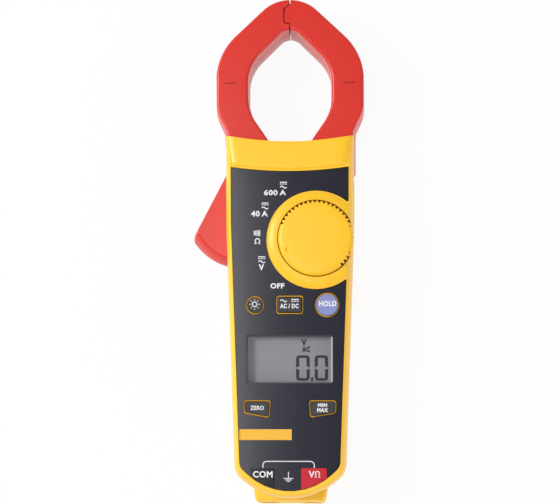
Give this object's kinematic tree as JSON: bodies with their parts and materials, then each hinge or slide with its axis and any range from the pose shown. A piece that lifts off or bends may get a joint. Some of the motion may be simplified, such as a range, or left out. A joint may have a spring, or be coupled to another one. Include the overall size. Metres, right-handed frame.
{
  "type": "clamp meter",
  "caption": "Handheld clamp meter: red hinged jaws opened by a side lever, yellow case, dark panel, edge dial, keys, display and input jacks.",
  "frame": {"origin": "on the flat back face, on the case's centreline at mid-length of the whole meter", "axes": "+Z out of the front panel, +Y towards the jaw tips, +X to the user's right"},
  "size_m": [0.0777, 0.2285, 0.038],
  "materials": {
    "yellow_plastic": "fine satin moulding",
    "red_plastic": "fine satin moulding",
    "panel_plastic": "fine matt moulding",
    "key_rubber": "soft matt",
    "violet_rubber": "soft matt",
    "lens": "clear polished",
    "lcd": "grey polarised glass",
    "diffuser": "milky",
    "silicone": "soft matt",
    "board": "solder mask",
    "steel": "plated",
    "black_plastic": "moulded",
    "jack_red": "moulded",
    "bezel_plastic": "moulded",
    "brass": "turned",
    "cell_wrap": "shrink sleeve",
    "core_steel": "laminated",
    "copper": "enamelled wire"
  },
  "bodies": {
    "case": {"front_case": "yellow_plastic", "rear_case": "yellow_plastic", "front_panel": "panel_plastic", "display_lens": "lens", "display_bezel": "bezel_plastic", "lcd_glass": "lcd", "backlight_plate": "diffuser", "zebra_strips": "silicone", "circuit_board": "board", "board_screws": "steel", "main_chip": "black_plastic", "buzzer": "black_plastic", "upper_keypad": "silicone", "lower_keypad": "silicone", "com_insulator": "black_plastic", "volt_insulator": "jack_red", "com_socket": "brass", "volt_socket": "brass", "battery_tray": "black_plastic", "battery_cells": "cell_wrap", "battery_springs": "steel", "battery_plates": "steel", "battery_door": "yellow_plastic", "door_screw": "steel", "case_screws": "steel", "jaw_pins": "steel", "jaw_spring": "steel"},
    "trigger_jaw": {"trigger_jaw_front": "red_plastic", "trigger_jaw_rear": "red_plastic", "trigger_jaw_core": "core_steel", "trigger_jaw_coil": "copper"},
    "plain_jaw": {"plain_jaw_front": "red_plastic", "plain_jaw_rear": "red_plastic", "plain_jaw_core": "core_steel", "plain_jaw_coil": "copper", "hall_sensor": "black_plastic"},
    "dial": {"dial_knob": "yellow_plastic", "dial_rotor": "diffuser", "dial_wipers": "brass"},
    "light_key": {"light_button": "key_rubber"},
    "acdc_key": {"acdc_button": "key_rubber"},
    "hold_key": {"hold_button": "violet_rubber"},
    "zero_key": {"zero_button": "key_rubber"},
    "minmax_key": {"minmax_button": "key_rubber"}
  },
  "joints": [
    {"name": "jaw_open", "type": "hinge", "parent": "case", "child": "trigger_jaw", "pos_m": [-0.018, 0.036, 0.016], "axis": [0, 0, 1], "range_deg": [0, 15], "stiffness_Nm_per_rad": 1.5, "springref_deg": -17.19},
    {"name": "plain_jaw_open", "type": "hinge", "parent": "case", "child": "plain_jaw", "pos_m": [0.018, 0.036, 0.016], "axis": [0, 0, 1], "range_deg": [-15, 0]},
    {"name": "dial_turn", "type": "hinge", "parent": "case", "child": "dial", "pos_m": [0.0116, 0.0059, 0.036], "axis": [0, 0, 1], "range_deg": [-76.5, 25.5]},
    {"name": "light_press", "type": "slide", "parent": "case", "child": "light_key", "axis": [0, 0, -1], "range_m": [0, 0.0008], "stiffness_N_per_m": 800, "springref_m": -0.001},
    {"name": "acdc_press", "type": "slide", "parent": "case", "child": "acdc_key", "axis": [0, 0, -1], "range_m": [0, 0.0008], "stiffness_N_per_m": 800, "springref_m": -0.001},
    {"name": "hold_press", "type": "slide", "parent": "case", "child": "hold_key", "axis": [0, 0, -1], "range_m": [0, 0.0008], "stiffness_N_per_m": 800, "springref_m": -0.001},
    {"name": "zero_press", "type": "slide", "parent": "case", "child": "zero_key", "axis": [0, 0, -1], "range_m": [0, 0.0008], "stiffness_N_per_m": 800, "springref_m": -0.001},
    {"name": "minmax_press", "type": "slide", "parent": "case", "child": "minmax_key", "axis": [0, 0, -1], "range_m": [0, 0.0008], "stiffness_N_per_m": 800, "springref_m": -0.001}
  ],
  "couplings": [
    {"joint": "plain_jaw_open", "follows": "jaw_open", "ratio": -1}
  ]
}
